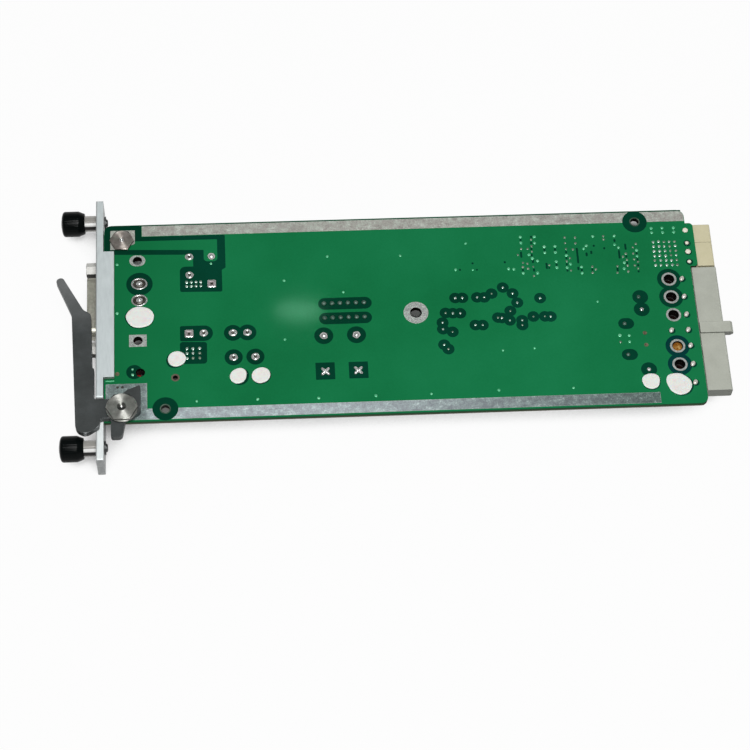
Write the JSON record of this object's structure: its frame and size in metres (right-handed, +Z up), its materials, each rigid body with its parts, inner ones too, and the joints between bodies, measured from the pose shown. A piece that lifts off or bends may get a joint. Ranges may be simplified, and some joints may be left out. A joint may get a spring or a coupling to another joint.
{
  "type": "power transfer board",
  "caption": "Plug-in chassis board with a front panel, D-shaped power inlet, captive thumbscrews, a swinging ejector lever and backplane power and signal connectors; solder side up.",
  "frame": {"origin": "middle of the bottom of the whole board's box, as it lies with its solder face up", "axes": "+X from the front panel to the backplane connectors, +Z up out of the solder face, +Y across the board towards the plain hexagon screw"},
  "size_m": [0.2446, 0.1054, 0.0171],
  "materials": {
    "board_mask": "green solder mask over glass-filled laminate, satin gloss",
    "tin": "dull tinned copper, mottled",
    "solder": "bright solder fillets on cut pins",
    "white_dab": "opaque white insulating compound",
    "panel": "satin sheet with a clear passivated finish",
    "bracket": "milled block, clear finish",
    "lever": "dark grey satin coat with small edge chips",
    "screw_steel": "turned steel, zinc finish",
    "sleeve": "polished nickel plate",
    "knob": "near-black moulded grip",
    "spring": "drawn spring wire",
    "inlet_metal": "tin-plated steel shell",
    "inlet_plastic": "black glass-filled moulding",
    "contact_metal": "bare brass contacts",
    "lamp": "red lens",
    "power_plastic": "light grey moulding",
    "signal_plastic": "cream moulding",
    "can": "shrunk sleeve on an aluminium can",
    "film_box": "moulded box",
    "disc": "epoxy-dipped disc",
    "ferrite": "sintered ferrite",
    "winding": "enamelled copper wire",
    "base_plastic": "black moulded pin base",
    "chip_plastic": "moulded epoxy"
  },
  "bodies": {
    "board_module": {"circuit_board": "board_mask", "ground_strips": "tin", "tinned_rings": "tin", "solder_joints": "solder", "white_dabs": "white_dab", "front_panel": "panel", "lever_pivot_screw": "screw_steel", "upper_hex_screw": "screw_steel", "upper_bracket": "bracket", "lower_bracket": "bracket", "bracket_screws": "screw_steel", "inlet_shell": "inlet_metal", "inlet_insulator": "inlet_plastic", "inlet_contacts": "contact_metal", "inlet_brackets": "inlet_metal", "jackscrews": "inlet_metal", "lamp_holder": "base_plastic", "indicator_lamp": "lamp", "power_housing": "power_plastic", "power_contacts": "contact_metal", "signal_contacts": "contact_metal", "signal_module_upper": "signal_plastic", "signal_module_lower": "signal_plastic", "smoothing_capacitors": "can", "filter_capacitors": "film_box", "surge_discs": "disc", "choke_core": "ferrite", "choke_winding": "winding", "choke_base": "base_plastic", "ring_choke_base": "base_plastic", "ring_choke_core": "ferrite", "ring_choke_windings": "winding", "power_transistors": "chip_plastic", "control_chips": "chip_plastic", "upper_sleeve": "sleeve", "upper_spring": "spring", "lower_sleeve": "sleeve", "lower_spring": "spring"},
    "ejector": {"ejector_lever": "lever"},
    "upper_carrier": {"upper_retaining_ring": "spring"},
    "upper_thumbscrew": {"upper_knob": "knob", "upper_thumb_screw": "screw_steel"},
    "lower_carrier": {"lower_retaining_ring": "spring"},
    "lower_thumbscrew": {"lower_knob": "knob", "lower_thumb_screw": "screw_steel"}
  },
  "joints": [
    {"name": "ejector_swing", "type": "hinge", "parent": "board_module", "child": "ejector", "pos_m": [-0.09887, -0.03425, 0.014], "axis": [0, 0, 1], "range_deg": [0, 55]},
    {"name": "upper_screw_push", "type": "slide", "parent": "board_module", "child": "upper_carrier", "axis": [1, 0, 0], "range_m": [0, 0.0042], "stiffness_N_per_m": 200, "springref_m": -0.002, "deforming": ["upper_spring"]},
    {"name": "upper_screw_turn", "type": "hinge", "parent": "upper_carrier", "child": "upper_thumbscrew", "pos_m": [-0.11272, 0.04775, 0.0064], "axis": [1, 0, 0], "continuous": true},
    {"name": "lower_screw_push", "type": "slide", "parent": "board_module", "child": "lower_carrier", "axis": [1, 0, 0], "range_m": [0, 0.0042], "stiffness_N_per_m": 200, "springref_m": -0.002, "deforming": ["lower_spring"]},
    {"name": "lower_screw_turn", "type": "hinge", "parent": "lower_carrier", "child": "lower_thumbscrew", "pos_m": [-0.11272, -0.04515, 0.0064], "axis": [1, 0, 0], "continuous": true}
  ]
}
